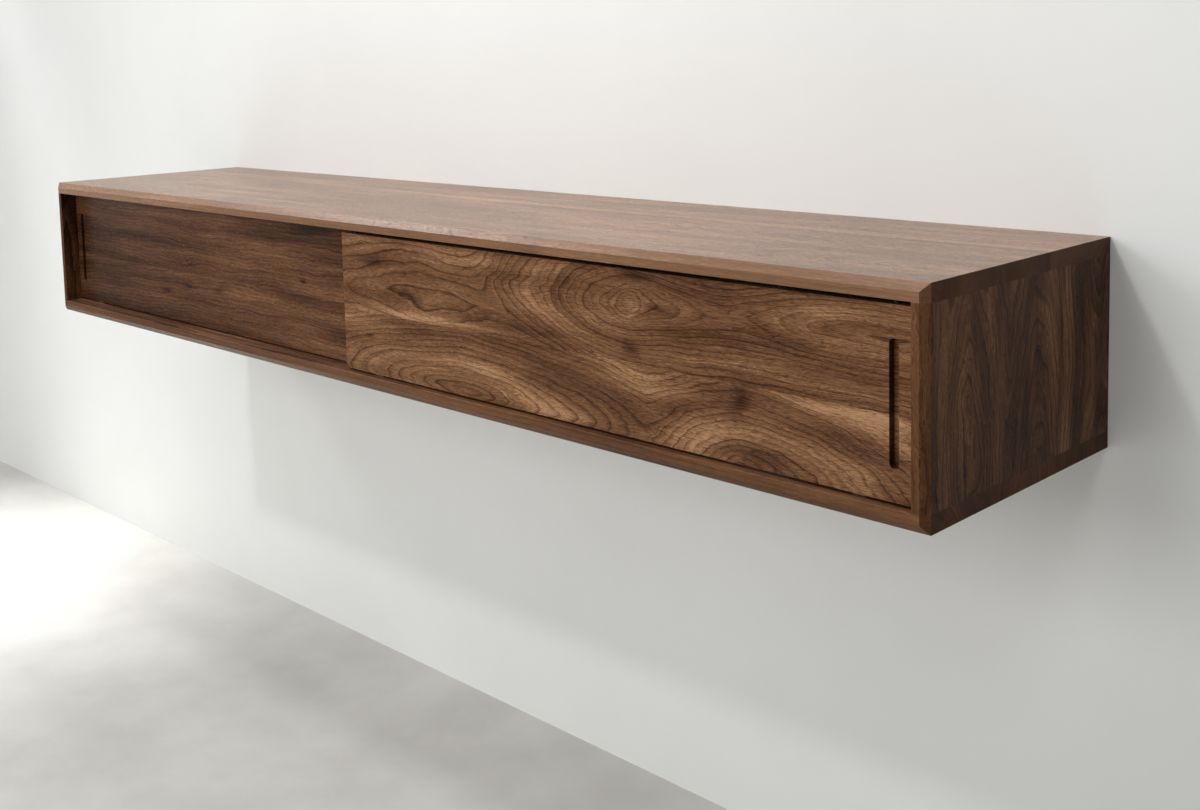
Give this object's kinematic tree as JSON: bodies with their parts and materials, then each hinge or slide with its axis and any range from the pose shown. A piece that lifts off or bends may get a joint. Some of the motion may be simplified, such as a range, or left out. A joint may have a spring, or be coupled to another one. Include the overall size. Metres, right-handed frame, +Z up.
{
  "type": "floating media console",
  "caption": "Wall-hung walnut media console: a long low cabinet with bypass sliding doors on rollers, routed finger pulls and a hidden cleat.",
  "frame": {"origin": "middle of the line of screw holes in the wall cleat, in the plane of the wall", "axes": "+X along the wall, to the right as the doors are faced; +Y into the wall; +Z up; the doors face -Y"},
  "size_m": [1.94, 0.406, 0.254],
  "materials": {
    "walnut": "solid black walnut, hand-rubbed oil, satin",
    "walnut_ply": "walnut-faced plywood, satin",
    "cleat_hardwood": "planed, unfinished poplar",
    "beech": "fluted beech, unfinished",
    "brown_plastic": "dark brown extruded plastic",
    "black_plastic": "moulded, fine texture",
    "nylon": "turned natural nylon",
    "zinc_steel": "zinc-plated steel",
    "rubber": "black rubber"
  },
  "bodies": {
    "wall_mount": {"wall_cleat": "cleat_hardwood"},
    "case": {"top_front_board": "walnut", "top_back_board": "walnut", "bottom_front_board": "walnut", "bottom_middle_board": "walnut", "bottom_back_board": "walnut", "left_end_front_board": "walnut", "left_end_back_board": "walnut", "right_end_front_board": "walnut", "right_end_back_board": "walnut", "centre_divider": "walnut", "left_back_panel": "walnut_ply", "right_back_panel": "walnut_ply", "hanging_rail": "cleat_hardwood", "lower_spacer": "cleat_hardwood", "corner_tenons": "beech", "divider_dowels": "beech", "rail_dowels": "beech", "spacer_dowels": "beech", "divider_screws": "zinc_steel", "front_bottom_track": "brown_plastic", "rear_bottom_track": "brown_plastic", "front_top_channel": "brown_plastic", "rear_top_channel": "brown_plastic", "channel_stops": "rubber"},
    "right_door": {"right_door_upper_board": "walnut", "right_door_lower_board": "walnut", "right_roller_housings": "black_plastic", "right_roller_axles": "zinc_steel", "right_housing_screws": "zinc_steel", "right_guide_pins": "black_plastic"},
    "right_outer_roller": {"right_outer_roller": "nylon"},
    "right_inner_roller": {"right_inner_roller": "nylon"},
    "left_door": {"left_door_upper_board": "walnut", "left_door_lower_board": "walnut", "left_roller_housings": "black_plastic", "left_roller_axles": "zinc_steel", "left_housing_screws": "zinc_steel", "left_guide_pins": "black_plastic"},
    "left_outer_roller": {"left_outer_roller": "nylon"},
    "left_inner_roller": {"left_inner_roller": "nylon"}
  },
  "joints": [
    {"name": "case_lift", "type": "slide", "parent": "wall_mount", "child": "case", "axis": [0, 0, 1], "range_m": [0, 0.02]},
    {"name": "right_door_slide", "type": "slide", "parent": "case", "child": "right_door", "axis": [1, 0, 0], "range_m": [-0.933, 0]},
    {"name": "right_outer_roller_turn", "type": "hinge", "parent": "right_door", "child": "right_outer_roller", "pos_m": [0.88, -0.3885, -0.1096], "axis": [0, 1, 0], "continuous": true},
    {"name": "right_inner_roller_turn", "type": "hinge", "parent": "right_door", "child": "right_inner_roller", "pos_m": [0.053, -0.3885, -0.1096], "axis": [0, 1, 0], "continuous": true},
    {"name": "left_door_slide", "type": "slide", "parent": "case", "child": "left_door", "axis": [1, 0, 0], "range_m": [0, 0.933]},
    {"name": "left_outer_roller_turn", "type": "hinge", "parent": "left_door", "child": "left_outer_roller", "pos_m": [-0.88, -0.3675, -0.1096], "axis": [0, 1, 0], "continuous": true},
    {"name": "left_inner_roller_turn", "type": "hinge", "parent": "left_door", "child": "left_inner_roller", "pos_m": [-0.053, -0.3675, -0.1096], "axis": [0, 1, 0], "continuous": true}
  ],
  "couplings": [
    {"joint": "right_outer_roller_turn", "follows": "right_door_slide", "rad_per_m": 90.909},
    {"joint": "right_inner_roller_turn", "follows": "right_door_slide", "rad_per_m": 90.909},
    {"joint": "left_outer_roller_turn", "follows": "left_door_slide", "rad_per_m": 90.909},
    {"joint": "left_inner_roller_turn", "follows": "left_door_slide", "rad_per_m": 90.909}
  ]
}
